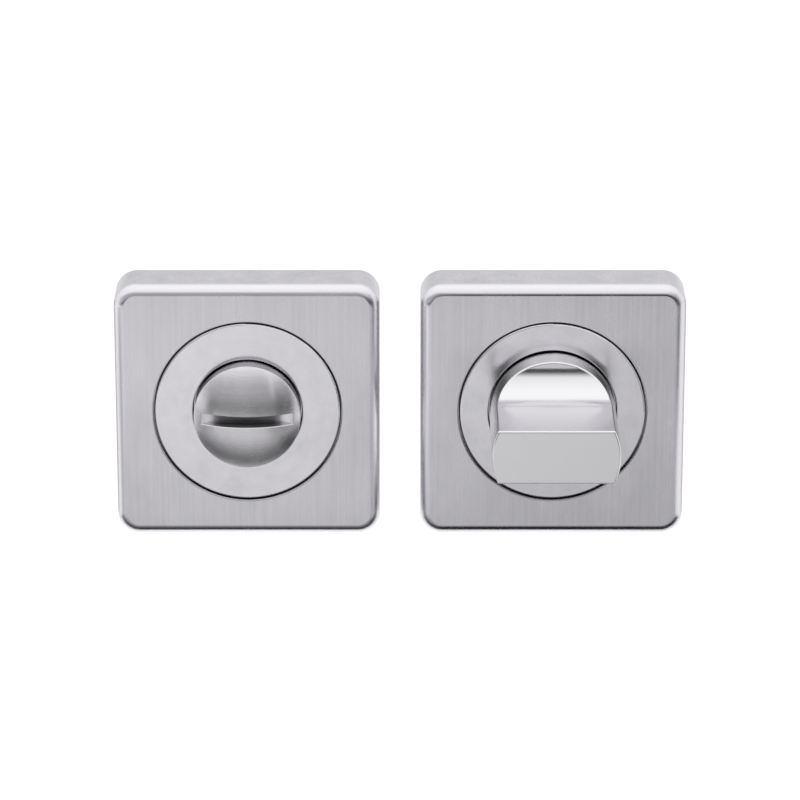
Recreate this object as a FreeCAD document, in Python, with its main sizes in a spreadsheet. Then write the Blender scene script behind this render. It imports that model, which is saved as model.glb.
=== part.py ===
"""Bathroom lock set: a thumb turn and a coin release, each on a square rose.

Both roses face -Y and bear on the door at y = 0. The thumb turn's axis is x = 0 and the
release's axis stands one rose pitch to its left. Every piece is drawn in a frame of its own,
with z outward from the door, y up and x to the right, and its body's placement turns z to -Y.
"""
import FreeCAD
import Part
import Sketcher
import math
import os

# Driving dimensions in millimetres: the sheet's alias, the size and what it is.
DIMENSIONS = [
    ("rose_pitch", 60.0, "between the axes of the two halves as they lie side by side"),
    ("rose_width", 52.0, "side of the square cover"),
    ("rose_depth", 10.5, "door face to the cover's front face"),
    ("rose_corner", 4.4, "cover's corner radius, seen from the front"),
    ("rose_edge", 2.0, "radius round the cover's front edge"),
    ("cover_wall", 1.5, "cover's side walls"),
    ("cover_front", 1.5, "cover's front wall"),
    ("cover_lift", 0.2, "cover's rim clear of the door, so that the plate takes the load"),
    ("cavity_edge", 0.5, "radius inside the cover, along its front wall"),
    ("opening_diameter", 37.1, "round opening in the cover"),
    ("opening_edge", 0.3, "radius round the opening"),
    ("notch_width", 8.0, "notch under the cover for prising it off"),
    ("notch_height", 0.9, "height of that notch from the cover's rim"),
    ("disc_gap", 0.3, "between the disc and the opening"),
    ("disc_sink", 0.15, "disc's face behind the cover's face"),
    ("disc_edge", 0.3, "radius round the disc's face"),
    ("flange_overlap", 2.4, "disc's flange behind the cover, past the opening"),
    ("flange_thickness", 1.5, "disc's flange"),
    ("recess_depth", 1.9, "seat sunk in the disc for the bush and the turning piece"),
    ("recess_edge", 0.2, "radius round that seat"),
    ("hub_level", 3.8, "door face to the rear of the disc's hub"),
    ("hub_wall", 2.0, "disc's hub round the bush"),
    ("shank_diameter", 14.0, "shank of the turn and of the release"),
    ("shank_level", 0.8, "door face to the shank's end"),
    ("shank_chamfer", 0.5, "on the shank's end"),
    ("running_clearance", 0.05, "between a shank and its bush"),
    ("press_clearance", 0.01, "between a bush and its hub"),
    ("bush_wall", 1.2, "bush's sleeve"),
    ("bush_flange_diameter", 19.6, "bush's thrust flange"),
    ("bush_flange_thickness", 0.8, "bush's thrust flange"),
    ("thrust_clearance", 0.05, "between that flange and the turning piece"),
    ("knob_diameter", 24.8, "thumb turn"),
    ("knob_gap", 0.3, "between the thumb turn and its seat in the disc"),
    ("knob_reach", 26.0, "disc's face to the front of the thumb turn"),
    ("knob_edge", 0.35, "radius on the thumb turn's edges"),
    ("bar_thickness", 10.8, "thumb turn's grip bar"),
    ("collar_height", 5.9, "disc's face to the shoulder beside the bar"),
    ("scoop_radius", 5.8, "hollow between the shoulder and the bar"),
    ("button_diameter", 21.0, "coin release"),
    ("button_gap", 0.3, "between the coin release and its seat in the disc"),
    ("button_rim", 4.2, "disc's face to the rim of the coin release"),
    ("button_dome", 2.3, "rise of its domed front"),
    ("button_edge", 1.2, "radius round its rim"),
    ("slot_width", 2.2, "coin slot"),
    ("slot_depth", 3.0, "coin slot, at its middle"),
    ("slot_edge", 0.15, "bevel along the coin slot"),
    ("cutter_diameter", 80.0, "round cutter that leaves the slot's curved floor"),
    ("spindle_side", 5.0, "square spindle"),
    ("spindle_reach", 55.0, "spindle behind the door face"),
    ("spindle_chamfer", 0.6, "on the spindle's two ends"),
    ("spindle_clearance", 0.05, "between a flat of the spindle and its socket"),
    ("turn_socket_depth", 17.0, "socket in the thumb turn"),
    ("release_socket_depth", 9.0, "socket in the coin release"),
    ("socket_end_clearance", 0.3, "beyond the spindle's end in its socket"),
    ("pin_diameter", 2.5, "cross pin through shank and spindle"),
    ("pin_level", 6.0, "door face to the pin's axis"),
    ("pin_inset", 0.4, "pin's ends below the shank's surface"),
    ("pin_clearance", 0.02, "between the pin and its hole"),
    ("pin_chamfer", 0.3, "on the pin's two ends"),
    ("washer_height", 0.8, "conical spring washer, free height"),
    ("washer_thickness", 0.4, "its sheet, along the axis"),
    ("washer_width", 2.4, "its ring, from bore to rim"),
    ("washer_clearance", 0.2, "between its bore and the shank"),
    ("clip_thickness", 1.0, "circlip"),
    ("clip_width", 1.9, "circlip's ring"),
    ("clip_offset", 0.4, "how far its rim is off the axis, away from the gap"),
    ("clip_gap", 1.6, "between its two ears"),
    ("clip_groove", 0.5, "depth of its groove in the shank"),
    ("clip_clearance", 0.05, "between the circlip and its groove"),
    ("ear_radius", 1.7, "circlip's ears"),
    ("ear_spread", 2.0, "an ear's centre from the middle of the gap"),
    ("ear_hole", 1.5, "plier hole in each ear"),
    ("plate_clearance", 0.3, "between the base plate and the cover"),
    ("plate_floor", 2.5, "base plate"),
    ("plate_bore", 23.0, "clearance hole in the base plate"),
    ("skirt_wall", 1.2, "base plate's upstanding edge"),
    ("skirt_height", 6.0, "door face to the top of that edge"),
    ("snap_length", 14.0, "snap ridges above and below"),
    ("snap_height", 1.0, "a ridge, along the axis"),
    ("snap_level", 4.2, "door face to the middle of a ridge"),
    ("snap_reach", 0.55, "how far a ridge stands out of the base plate"),
    ("snap_clearance", 0.15, "between a ridge and its groove in the cover"),
    ("tongue_slot", 1.0, "slots that free the edge on both sides of a ridge"),
    ("post_diameter", 5.4, "four posts behind the disc's flange"),
    ("post_radius", 18.2, "rose's axis to a post"),
    ("post_core", 2.4, "hole that cores a post from behind"),
    ("post_core_depth", 6.0, "depth of that hole"),
    ("peg_diameter", 3.0, "peg on a post, in the flange"),
    ("peg_height", 1.0, "peg's length"),
    ("peg_clearance", 0.1, "round a peg and beyond its end"),
    ("bolt_inset", 7.0, "cover's side to a fixing bolt's middle"),
    ("bolt_hole", 4.4, "clearance hole for a fixing bolt"),
    ("bolt_seat", 7.8, "sunk seat for a bolt's head"),
    ("bolt_seat_depth", 0.6, "depth of that seat"),
    ("stud_diameter", 6.0, "threaded post that takes a bolt from the turn's side"),
    ("stud_bore", 3.3, "threaded post's bore"),
    ("stud_reach", 9.0, "threaded post behind the door face"),
    ("stud_head", 7.6, "across the flats of its hexagon head"),
    ("stud_head_height", 1.5, "that head"),
    ("stud_clearance", 0.03, "between a threaded post and the base plate"),
    ("stud_chamfer", 0.5, "on the threaded post's end"),
]

QUARTER_TURN = 90.0
HEXAGON_SIDES = 6
POST_COUNT = 4
NEAR = 0.0001


class Size:
    """A length that carries both its value and the sheet expression that gives it."""

    def __init__(self, value, text):
        self.value = value
        self.text = text

    def combined(self, sign, other, swapped=False):
        other = other if isinstance(other, Size) else Size(float(other), str(float(other)))
        left, right = (other, self) if swapped else (self, other)
        value = {
            "+": lambda: left.value + right.value,
            "-": lambda: left.value - right.value,
            "*": lambda: left.value * right.value,
            "/": lambda: left.value / right.value,
        }[sign]()
        return Size(value, f"({left.text} {sign} {right.text})")

    def __add__(self, other):
        return self.combined("+", other)

    def __sub__(self, other):
        return self.combined("-", other)

    def __mul__(self, other):
        return self.combined("*", other)

    def __rmul__(self, other):
        return self.combined("*", other, swapped=True)

    def __truediv__(self, other):
        return self.combined("/", other)

    def __neg__(self):
        return Size(-self.value, f"(-{self.text})")

    def root(self):
        return Size(math.sqrt(self.value), f"sqrt({self.text})")

    def arc_cosine(self):
        return Size(math.degrees(math.acos(self.value)), f"acos({self.text})")


class Sheet:
    """The document's spreadsheet; each alias is an attribute that gives a Size."""

    def __init__(self, document):
        self.cells = document.addObject("Spreadsheet::Sheet", "Sizes")
        self.values = {}
        for row, (alias, value, meaning) in enumerate(DIMENSIONS, start=1):
            self.cells.set(f"A{row}", alias)
            self.cells.set(f"B{row}", str(value))
            self.cells.setAlias(f"B{row}", alias)
            self.cells.set(f"C{row}", meaning)
            self.values[alias] = value

    def __getattr__(self, alias):
        return Size(self.values[alias], f"Sizes.{alias}")


doc = FreeCAD.newDocument("BathroomThumbTurnLock")
size = Sheet(doc)
doc.recompute()
ZERO = Size(0.0, "0")

# Levels outward from the door face, and radii, that several pieces share.
face_level = size.rose_depth - size.disc_sink
flange_front = size.rose_depth - size.cover_front
flange_rear = flange_front - size.flange_thickness
recess_level = face_level - size.recess_depth
base_level = recess_level + size.bush_flange_thickness + size.thrust_clearance
clip_front = size.hub_level - size.washer_height
clip_rear = clip_front - size.clip_thickness
shank_radius = size.shank_diameter / 2
bush_bore = shank_radius + size.running_clearance
bush_radius = bush_bore + size.bush_wall
groove_radius = shank_radius - size.clip_groove
clip_bore = groove_radius + size.clip_clearance
cavity_half = size.rose_width / 2 - size.cover_wall
cavity_corner = size.rose_corner - size.cover_wall
plate_half = cavity_half - size.plate_clearance
plate_corner = cavity_corner - size.plate_clearance
bolt_half = size.rose_width / 2 - size.bolt_inset
post_offset = size.post_radius * math.sqrt(0.5)
socket_half = size.spindle_side / 2 + size.spindle_clearance
stud_half_head = size.stud_head / 2


def new_body(label, axis_x):
    """A body whose z axis points out of the door, with its own axis at axis_x."""
    body = doc.addObject("PartDesign::Body", label)
    body.Label = label
    outward = FreeCAD.Rotation(FreeCAD.Vector(1, 0, 0), QUARTER_TURN)
    body.Placement = FreeCAD.Placement(FreeCAD.Vector(axis_x.value, 0, 0), outward)
    body.setExpression("Placement.Base.x", axis_x.text)
    return body


def origin_feature(body, role):
    """A plane or axis of the body's own origin."""
    return next(feature for feature in body.Origin.OriginFeatures if feature.Role == role)


def new_sketch(body, name, plane="XY_Plane", level=None, rise=None):
    """A sketch on one of the body's origin planes, at a level along its normal or a rise along its y."""
    sketch = body.newObject("Sketcher::SketchObject", name)
    sketch.AttachmentSupport = (origin_feature(body, plane), [""])
    sketch.MapMode = "FlatFace"
    for axis, shift in (("z", level), ("y", rise)):
        if shift is not None:
            sketch.setExpression(f"AttachmentOffset.Base.{axis}", shift.text)
    return sketch


def bind(sketch, constraint, length):
    """Adds a constraint and ties it to the sheet."""
    number = sketch.addConstraint(constraint)
    if length is not ZERO:
        sketch.setExpression(f"Constraints[{number}]", length.text)


def place_point(sketch, element, point, x, y):
    """Fixes one point of a sketch element at x, y from the sketch's origin."""
    bind(sketch, Sketcher.Constraint("DistanceX", -1, 1, element, point, x.value), x)
    bind(sketch, Sketcher.Constraint("DistanceY", -1, 1, element, point, y.value), y)


def draw_circle(sketch, radius, x=ZERO, y=ZERO):
    """A circle of a bound radius about x, y."""
    centre = FreeCAD.Vector(x.value, y.value, 0)
    element = sketch.addGeometry(Part.Circle(centre, FreeCAD.Vector(0, 0, 1), radius.value))
    bind(sketch, Sketcher.Constraint("Radius", element, radius.value), radius)
    place_point(sketch, element, 3, x, y)


def arc_between(start, end, radius, side):
    """The short arc from start to end, with its centre to the left (side 1) or right (side -1)."""
    chord = end - start
    rise = math.sqrt(max(radius ** 2 - chord.Length ** 2 / 4, 0.0))
    left = FreeCAD.Vector(-chord.y, chord.x, 0) / chord.Length
    centre = (start + end) / 2 + left * (side * rise)
    angles = [math.atan2(point.y - centre.y, point.x - centre.x) for point in (start, end)]
    circle = Part.Circle(centre, FreeCAD.Vector(0, 0, 1), radius)
    return Part.ArcOfCircle(circle, *(angles if side > 0 else reversed(angles)))


def draw_outline(sketch, corners, arcs=None):
    """A closed outline through corners; arcs gives the radius and side of its curved stretches."""
    arcs = arcs or {}
    points = [FreeCAD.Vector(x.value, y.value, 0) for x, y in corners]
    ends = []
    for number, (x, y) in enumerate(corners):
        start = points[number]
        end = points[(number + 1) % len(points)]
        if number in arcs:
            radius, side = arcs[number]
            element = sketch.addGeometry(arc_between(start, end, radius.value, side))
            bind(sketch, Sketcher.Constraint("Radius", element, radius.value), radius)
            first, last = (1, 2) if side > 0 else (2, 1)
        else:
            element = sketch.addGeometry(Part.LineSegment(start, end))
            first, last = 1, 2
        place_point(sketch, element, first, x, y)
        ends.append((element, first, last))
    for (element, _, last), (following, first, _) in zip(ends, ends[1:] + ends[:1]):
        sketch.addConstraint(Sketcher.Constraint("Coincident", element, last, following, first))


def draw_rectangle(sketch, left, right, bottom, top):
    """An upright rectangle."""
    draw_outline(sketch, [(left, bottom), (right, bottom), (right, top), (left, top)])


def draw_rounded_square(sketch, half, corner):
    """A square about the axis with round corners."""
    flat = half - corner
    corners = [
        (flat, -half), (half, -flat), (half, flat), (flat, half),
        (-flat, half), (-half, flat), (-half, -flat), (-flat, -half),
    ]
    draw_outline(sketch, corners, {number: (corner, 1) for number in (0, 2, 4, 6)})


def draw_hexagon(sketch, half_flats, x):
    """A hexagon about x with two flats upright."""
    reach = half_flats / math.cos(math.pi / HEXAGON_SIDES)
    corners = []
    for number in range(HEXAGON_SIDES):
        angle = 2 * math.pi * (number + 0.5) / HEXAGON_SIDES
        corners.append((x + reach * math.cos(angle), reach * math.sin(angle)))
    draw_outline(sketch, corners)


def extrude(kind, body, sketch, name, length, both_ways):
    """A pad or a pocket of a sketch, outward from it or both ways."""
    feature = body.newObject(f"PartDesign::{kind}", name)
    feature.Profile = sketch
    feature.setExpression("Length", length.text)
    feature.Reversed = kind == "Pocket"
    if both_ways:
        feature.SideType = "Symmetric"
    body.Tip = feature
    doc.recompute()
    return feature


def pad(body, sketch, name, length, both_ways=False):
    """Adds a sketch's outline as a solid of that length."""
    return extrude("Pad", body, sketch, name, length, both_ways)


def pocket(body, sketch, name, length, both_ways=False):
    """Cuts a sketch's outline to that depth, which has to take material away."""
    before = body.Shape.Volume
    feature = extrude("Pocket", body, sketch, name, length, both_ways)
    if not body.Shape.Volume < before:
        raise RuntimeError(f"{name} cuts nothing")
    return feature


def revolve(body, name, corners, arcs=None):
    """A solid turned about the axis from corners given as radius and level."""
    sketch = new_sketch(body, f"{name}_profile", "XZ_Plane")
    draw_outline(sketch, corners, arcs)
    feature = body.newObject("PartDesign::Revolution", name)
    feature.Profile = sketch
    feature.ReferenceAxis = (sketch, ["V_Axis"])
    body.Tip = feature
    doc.recompute()
    return feature


def groove(body, sketch, name, angle):
    """Cuts a sketch's outline, turned about the sketch's level axis by half an angle to each side."""
    feature = body.newObject("PartDesign::Groove", name)
    feature.Profile = sketch
    feature.ReferenceAxis = (sketch, ["H_Axis"])
    feature.Midplane = True
    feature.setExpression("Angle", angle.text)
    body.Tip = feature
    doc.recompute()
    return feature


def repeat_round(body, features, name, count):
    """Copies of features, evenly spaced round the axis."""
    pattern = body.newObject("PartDesign::PolarPattern", name)
    pattern.Originals = features
    pattern.Axis = (origin_feature(body, "Z_Axis"), [""])
    pattern.Angle = 360
    pattern.Occurrences = count
    body.Tip = pattern
    doc.recompute()
    return pattern


def edge_names(body, chosen):
    """The names of the tip's edges for which chosen is true, in the body's own frame."""
    doc.recompute()
    edges = enumerate(body.Tip.Shape.Edges, start=1)
    names = [f"Edge{number}" for number, edge in edges if chosen(edge)]
    if not names:
        raise RuntimeError(f"{body.Label} has no such edge")
    return names


def dress(kind, body, name, amount, chosen):
    """A fillet or a chamfer on the chosen edges of the body as it stands."""
    names = edge_names(body, chosen)
    base = body.Tip
    feature = body.newObject(f"PartDesign::{kind}", name)
    feature.Base = (base, names)
    feature.setExpression("Radius" if kind == "Fillet" else "Size", amount.text)
    body.Tip = feature
    doc.recompute()
    return feature


def fillet(body, name, radius, chosen):
    return dress("Fillet", body, name, radius, chosen)


def chamfer(body, name, width, chosen):
    return dress("Chamfer", body, name, width, chosen)


def at_level(level):
    """Chooses the edges that lie wholly in one level."""
    def chosen(edge):
        box = edge.BoundBox
        return abs(box.ZMin - level.value) < NEAR and abs(box.ZMax - level.value) < NEAR

    return chosen


def ring_at(level, radius):
    """Chooses the circle of a radius about the axis in one level."""
    in_level = at_level(level)

    def chosen(edge):
        return in_level(edge) and abs(edge.BoundBox.XMax - radius.value) < NEAR

    return chosen


def make_cover(label, axis_x):
    """The square cover: a shell open towards the door, with a round opening in its front."""
    body = new_body(label, axis_x)
    rim = size.cover_lift
    outline = new_sketch(body, f"{label}_outline", level=rim)
    draw_rounded_square(outline, size.rose_width / 2, size.rose_corner)
    pad(body, outline, f"{label}_block", size.rose_depth - rim)
    fillet(body, f"{label}_front_edge", size.rose_edge, at_level(size.rose_depth))

    cavity = new_sketch(body, f"{label}_cavity_outline", level=rim)
    draw_rounded_square(cavity, cavity_half, cavity_corner)
    pocket(body, cavity, f"{label}_cavity", flange_front - rim)
    on_ceiling = at_level(flange_front)
    inside = cavity_half.value + NEAR
    fillet(body, f"{label}_cavity_edge", size.cavity_edge,
           lambda edge: on_ceiling(edge) and edge.BoundBox.XMax < inside and edge.BoundBox.XMin > -inside)

    opening_radius = size.opening_diameter / 2
    opening = new_sketch(body, f"{label}_opening_outline", level=flange_front)
    draw_circle(opening, opening_radius)
    pocket(body, opening, f"{label}_opening", size.cover_front)
    fillet(body, f"{label}_opening_edge", size.opening_edge, ring_at(size.rose_depth, opening_radius))

    groove_half = plate_half + size.snap_reach + size.snap_clearance
    groove_end = size.snap_length / 2 + size.snap_clearance
    groove_low = size.snap_level - size.snap_height / 2 - size.snap_clearance
    grooves = new_sketch(body, f"{label}_groove_outline", level=groove_low)
    draw_rectangle(grooves, -groove_end, groove_end, -groove_half, groove_half)
    pocket(body, grooves, f"{label}_snap_grooves", size.snap_height + size.snap_clearance * 2)

    notch = new_sketch(body, f"{label}_notch_outline", level=rim)
    draw_rectangle(notch, -size.notch_width / 2, size.notch_width / 2,
                   -size.rose_width / 2 - size.cover_wall, -cavity_half + size.cover_wall)
    pocket(body, notch, f"{label}_prising_notch", size.notch_height)
    return body


def make_disc(label, axis_x, seat_radius):
    """The round disc in the opening: flange behind the cover, seat in front, hub for the bush."""
    body = new_body(label, axis_x)
    bore = bush_radius + size.press_clearance
    hub = bore + size.hub_wall
    rim = size.opening_diameter / 2 - size.disc_gap
    flange = size.opening_diameter / 2 + size.flange_overlap
    revolve(body, f"{label}_turned", [
        (bore, size.hub_level), (hub, size.hub_level), (hub, flange_rear), (flange, flange_rear),
        (flange, flange_front), (rim, flange_front), (rim, face_level), (seat_radius, face_level),
        (seat_radius, recess_level), (bore, recess_level),
    ])
    fillet(body, f"{label}_face_edge", size.disc_edge, ring_at(face_level, rim))
    fillet(body, f"{label}_seat_edge", size.recess_edge, ring_at(face_level, seat_radius))
    hole = new_sketch(body, f"{label}_peg_hole_outline", level=flange_rear)
    draw_circle(hole, size.peg_diameter / 2 + size.peg_clearance, post_offset, post_offset)
    peg_hole = pocket(body, hole, f"{label}_peg_hole", size.peg_height + size.peg_clearance)
    repeat_round(body, [peg_hole], f"{label}_peg_holes", POST_COUNT)
    return body


def make_bush(label, axis_x):
    """The flanged bush that the shank turns in."""
    body = new_body(label, axis_x)
    flange = size.bush_flange_diameter / 2
    flange_level = recess_level + size.bush_flange_thickness
    revolve(body, f"{label}_turned", [
        (bush_bore, size.hub_level), (bush_radius, size.hub_level), (bush_radius, recess_level),
        (flange, recess_level), (flange, flange_level), (bush_bore, flange_level),
    ])
    return body


def shank_corners():
    """The shank's half profile from its end to the head's underside, with the circlip's groove."""
    groove_low = clip_rear - size.clip_clearance
    groove_high = clip_front + size.clip_clearance
    return [
        (ZERO, size.shank_level), (shank_radius - size.shank_chamfer, size.shank_level),
        (shank_radius, size.shank_level + size.shank_chamfer), (shank_radius, groove_low),
        (groove_radius, groove_low), (groove_radius, groove_high), (shank_radius, groove_high),
        (shank_radius, base_level),
    ]


def cut_socket(body, label, depth):
    """The square socket for the spindle, from the shank's end."""
    sketch = new_sketch(body, f"{label}_socket_outline", level=size.shank_level)
    draw_rectangle(sketch, -socket_half, socket_half, -socket_half, socket_half)
    pocket(body, sketch, f"{label}_socket", depth)


def cut_pin_hole(body, label, across):
    """The cross hole for the pin, right through a piece that measures across."""
    sketch = new_sketch(body, f"{label}_pin_hole_outline", "YZ_Plane")
    draw_circle(sketch, size.pin_diameter / 2 + size.pin_clearance, ZERO, size.pin_level)
    pocket(body, sketch, f"{label}_pin_hole", across + size.pin_diameter, both_ways=True)


def make_thumb_turn(label, axis_x):
    """The thumb turn: a turned bar stock knob with a hollow scooped out above and below its bar."""
    body = new_body(label, axis_x)
    radius = size.knob_diameter / 2
    front = face_level + size.knob_reach
    shoulder = face_level + size.collar_height
    bar_half = size.bar_thickness / 2
    root = bar_half + size.scoop_radius
    head = [(radius, base_level), (radius, front), (ZERO, front)]
    revolve(body, f"{label}_turned", shank_corners() + head)

    beyond = radius + root
    past_front = front + size.scoop_radius
    outline = new_sketch(body, f"{label}_scoop_outline", "YZ_Plane")
    draw_outline(outline, [
        (bar_half, past_front), (bar_half, shoulder + size.scoop_radius), (root, shoulder),
        (beyond, shoulder), (beyond, past_front),
    ], {1: (size.scoop_radius, 1)})
    scoop = pocket(body, outline, f"{label}_scoop", size.knob_diameter * 2, both_ways=True)
    repeat_round(body, [scoop], f"{label}_scoops", 2)

    def sharp(edge):
        box = edge.BoundBox
        along_bar = box.YLength < NEAR and box.ZLength < NEAR
        in_front = abs(box.ZMin - front.value) < NEAR
        return box.ZMin > shoulder.value - NEAR and (in_front or not along_bar)

    fillet(body, f"{label}_edges", size.knob_edge, sharp)
    cut_socket(body, label, size.turn_socket_depth)
    cut_pin_hole(body, label, size.shank_diameter)
    return body


def make_release_button(label, axis_x):
    """The coin release: a domed button with a slot that a round cutter leaves."""
    body = new_body(label, axis_x)
    radius = size.button_diameter / 2
    crown = face_level + size.button_rim + size.button_dome
    dome_radius = (radius * radius + size.button_dome * size.button_dome) / (size.button_dome * 2)
    dome_middle = crown - dome_radius
    # The round rim touches the wall, and the dome from within.
    edge = size.button_edge
    inner_dome = dome_radius - edge
    inner_radius = radius - edge
    rise = (inner_dome * inner_dome - inner_radius * inner_radius).root()
    outward = dome_radius / inner_dome
    corners = shank_corners() + [
        (radius, base_level), (radius, dome_middle + rise),
        (inner_radius * outward, dome_middle + rise * outward), (ZERO, crown),
    ]
    dome_start = len(corners) - 2
    revolve(body, f"{label}_turned", corners, {dome_start - 1: (edge, 1), dome_start: (dome_radius, 1)})

    cutter = size.cutter_diameter / 2
    outline = new_sketch(body, f"{label}_slot_outline", "XZ_Plane")
    draw_circle(outline, cutter, ZERO, crown - size.slot_depth + cutter)
    pocket(body, outline, f"{label}_slot", size.slot_width, both_ways=True)

    # The lips are bevelled along the dome, up to where the slot is twice as deep as the bevel.
    bevel = size.slot_edge
    run_out = dome_radius - bevel * 2
    apart = dome_radius + cutter - size.slot_depth
    height = (run_out * run_out + apart * apart - cutter * cutter) / (apart * 2)
    half_slot = size.slot_width / 2
    outline = new_sketch(body, f"{label}_bevel_outline", "YZ_Plane", rise=dome_middle)
    draw_outline(outline, [
        (-half_slot, dome_radius - bevel), (half_slot, dome_radius - bevel),
        (half_slot + bevel * 2, dome_radius + bevel), (-half_slot - bevel * 2, dome_radius + bevel),
    ])
    groove(body, outline, f"{label}_slot_bevel", (height / run_out).arc_cosine() * 2)
    cut_socket(body, label, size.release_socket_depth)
    return body


def make_spring_washer(label, axis_x):
    """The conical spring washer between hub and circlip, which takes up the turn's end play."""
    body = new_body(label, axis_x)
    bore = shank_radius + size.washer_clearance
    rim = bore + size.washer_width
    revolve(body, f"{label}_turned", [
        (bore, clip_front), (rim, size.hub_level - size.washer_thickness),
        (rim, size.hub_level), (bore, clip_front + size.washer_thickness),
    ])
    return body


def make_circlip(label, axis_x):
    """The circlip in the shank's groove, with its gap and plier holes below."""
    body = new_body(label, axis_x)
    ear_level = -clip_bore - size.ear_radius
    ring = new_sketch(body, f"{label}_ring_outline", level=clip_rear)
    draw_circle(ring, clip_bore + size.clip_width, ZERO, size.clip_offset)
    draw_circle(ring, clip_bore)
    pad(body, ring, f"{label}_ring", size.clip_thickness)
    ears = new_sketch(body, f"{label}_ear_outline", level=clip_rear)
    holes = new_sketch(body, f"{label}_plier_hole_outline", level=clip_rear)
    for ear_x in (-size.ear_spread, size.ear_spread):
        draw_circle(ears, size.ear_radius, ear_x, ear_level)
        draw_circle(holes, size.ear_hole / 2, ear_x, ear_level)
    pad(body, ears, f"{label}_ears", size.clip_thickness)
    gap = new_sketch(body, f"{label}_gap_outline", level=clip_rear)
    draw_rectangle(gap, -size.clip_gap / 2, size.clip_gap / 2, ear_level - size.ear_radius * 2, ZERO)
    pocket(body, gap, f"{label}_gap", size.clip_thickness)
    pocket(body, holes, f"{label}_plier_holes", size.clip_thickness)
    return body


def make_spindle(label, axis_x):
    """The square spindle, pinned in the thumb turn and long enough for the door and the release."""
    body = new_body(label, axis_x)
    half = size.spindle_side / 2
    far_end = -size.spindle_reach
    near_end = size.shank_level + size.turn_socket_depth - size.socket_end_clearance
    section = new_sketch(body, f"{label}_section", level=far_end)
    draw_rectangle(section, -half, half, -half, half)
    pad(body, section, f"{label}_bar", near_end - far_end)
    at_far_end = at_level(far_end)
    at_near_end = at_level(near_end)
    chamfer(body, f"{label}_ends", size.spindle_chamfer, lambda edge: at_far_end(edge) or at_near_end(edge))
    cut_pin_hole(body, label, size.spindle_side)
    return body


def make_spindle_pin(label, axis_x):
    """The cross pin that holds the spindle in the thumb turn, kept in by the bush."""
    body = new_body(label, axis_x)
    half_length = shank_radius - size.pin_inset
    section = new_sketch(body, f"{label}_section", "YZ_Plane")
    draw_circle(section, size.pin_diameter / 2, ZERO, size.pin_level)
    pad(body, section, f"{label}_rod", half_length * 2, both_ways=True)
    chamfer(body, f"{label}_ends", size.pin_chamfer, lambda edge: edge.BoundBox.XLength < NEAR)
    return body


def pocket_pair(body, label, name, level, radius, depth):
    """Two round holes at the bolts' places."""
    sketch = new_sketch(body, f"{label}_{name}_outline", level=level)
    for bolt_x in (-bolt_half, bolt_half):
        draw_circle(sketch, radius, bolt_x)
    pocket(body, sketch, f"{label}_{name}", depth)


def make_base_plate(label, axis_x):
    """The moulded base plate: snap edge for the cover, posts for the disc and a bore for the shank."""
    body = new_body(label, axis_x)
    outline = new_sketch(body, f"{label}_outline")
    draw_rounded_square(outline, plate_half, plate_corner)
    pad(body, outline, f"{label}_floor", size.plate_floor)

    skirt = new_sketch(body, f"{label}_skirt_outline", level=size.plate_floor)
    draw_rounded_square(skirt, plate_half, plate_corner)
    draw_rounded_square(skirt, plate_half - size.skirt_wall, plate_corner - size.skirt_wall)
    upstand = size.skirt_height - size.plate_floor
    pad(body, skirt, f"{label}_skirt", upstand)

    snap_half = size.snap_length / 2
    ridge_low = size.snap_level - size.snap_height / 2
    ridge_outline = new_sketch(body, f"{label}_ridge_outline", level=ridge_low)
    ridge_top = plate_half + size.snap_reach
    draw_rectangle(ridge_outline, -snap_half, snap_half, plate_half - size.skirt_wall, ridge_top)
    ridge = pad(body, ridge_outline, f"{label}_ridge", size.snap_height)
    slot_outline = new_sketch(body, f"{label}_slot_outline", level=size.plate_floor)
    slot_end = snap_half + size.tongue_slot
    for left, right in ((-slot_end, -snap_half), (snap_half, slot_end)):
        draw_rectangle(slot_outline, left, right, plate_half - size.skirt_wall * 2, ridge_top)
    slots = pocket(body, slot_outline, f"{label}_tongue_slots", upstand)
    repeat_round(body, [ridge, slots], f"{label}_snaps", 2)

    post_outline = new_sketch(body, f"{label}_post_outline", level=size.plate_floor)
    draw_circle(post_outline, size.post_diameter / 2, post_offset, post_offset)
    post = pad(body, post_outline, f"{label}_post", flange_rear - size.plate_floor)
    peg_outline = new_sketch(body, f"{label}_peg_outline", level=flange_rear)
    draw_circle(peg_outline, size.peg_diameter / 2, post_offset, post_offset)
    peg = pad(body, peg_outline, f"{label}_peg", size.peg_height)
    core_outline = new_sketch(body, f"{label}_core_outline")
    draw_circle(core_outline, size.post_core / 2, post_offset, post_offset)
    core = pocket(body, core_outline, f"{label}_core", size.post_core_depth)
    repeat_round(body, [post, peg, core], f"{label}_posts", POST_COUNT)

    bore = new_sketch(body, f"{label}_bore_outline")
    draw_circle(bore, size.plate_bore / 2)
    pocket(body, bore, f"{label}_bore", size.plate_floor)
    return body


def make_turn_base_plate(label, axis_x):
    """The thumb turn's base plate, with clearance holes and sunk seats for the bolts' heads."""
    body = make_base_plate(label, axis_x)
    pocket_pair(body, label, "bolt_holes", ZERO, size.bolt_hole / 2, size.plate_floor)
    seat_level = size.plate_floor - size.bolt_seat_depth
    pocket_pair(body, label, "bolt_seats", seat_level, size.bolt_seat / 2, size.bolt_seat_depth)
    return body


def make_release_base_plate(label, axis_x):
    """The release's base plate, with holes and hexagon seats for the threaded posts."""
    body = make_base_plate(label, axis_x)
    hole_radius = size.stud_diameter / 2 + size.stud_clearance
    pocket_pair(body, label, "stud_holes", ZERO, hole_radius, size.plate_floor)
    seat_level = size.plate_floor - size.stud_head_height
    seats = new_sketch(body, f"{label}_stud_seat_outline", level=seat_level)
    for bolt_x in (-bolt_half, bolt_half):
        draw_hexagon(seats, stud_half_head + size.stud_clearance, bolt_x)
    pocket(body, seats, f"{label}_stud_seats", size.stud_head_height)
    return body


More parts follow.
